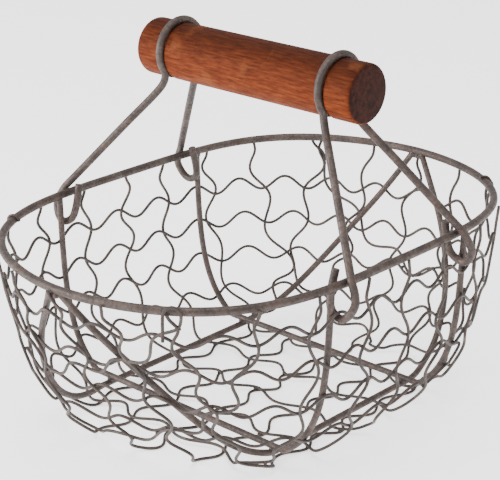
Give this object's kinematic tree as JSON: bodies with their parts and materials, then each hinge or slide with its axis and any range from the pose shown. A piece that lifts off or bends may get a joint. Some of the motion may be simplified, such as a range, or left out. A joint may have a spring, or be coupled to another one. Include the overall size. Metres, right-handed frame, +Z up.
{
  "type": "egg collection basket",
  "caption": "Oval wire basket with crimped wire netting on thick wire ribs and a turned wooden grip carried by hooked wire bails.",
  "frame": {"origin": "centre of the basket on the surface it stands on", "axes": "+X along the wooden grip (the short side), +Y along the basket's long side, +Z up"},
  "size_m": [0.1974, 0.2672, 0.1882],
  "materials": {
    "antique_steel": "antique brown patina, satin to matt",
    "stained_wood": "dark reddish stain, waxed, worn at the edges"
  },
  "bodies": {
    "basket": {"rim": "antique_steel", "cross_rib_front": "antique_steel", "cross_rib_rear": "antique_steel", "long_rib_left": "antique_steel", "long_rib_right": "antique_steel", "net_hoop_1": "antique_steel", "net_hoop_2": "antique_steel", "net_hoop_3": "antique_steel", "net_hoop_4": "antique_steel", "net_cross_1": "antique_steel", "net_cross_2": "antique_steel", "net_cross_3": "antique_steel", "net_cross_4": "antique_steel", "net_cross_5": "antique_steel", "net_cross_6": "antique_steel", "net_cross_7": "antique_steel", "net_cross_8": "antique_steel", "net_cross_9": "antique_steel", "net_long_1": "antique_steel", "net_long_2": "antique_steel", "net_long_3": "antique_steel", "net_long_4": "antique_steel", "net_long_5": "antique_steel"},
    "left_bail": {"left_bail": "antique_steel"},
    "right_bail": {"right_bail": "antique_steel"},
    "grip": {"grip": "stained_wood"}
  },
  "joints": [
    {"name": "left_bail_lift", "type": "slide", "parent": "basket", "child": "left_bail", "axis": [0, 0, 1], "range_m": [0, 0.01]},
    {"name": "right_bail_lift", "type": "slide", "parent": "basket", "child": "right_bail", "axis": [0, 0, 1], "range_m": [0, 0.01]},
    {"name": "grip_turn", "type": "hinge", "parent": "left_bail", "child": "grip", "pos_m": [0, 0, 0.17101], "axis": [1, 0, 0], "continuous": true}
  ],
  "couplings": [
    {"joint": "right_bail_lift", "follows": "left_bail_lift", "ratio": 1}
  ]
}
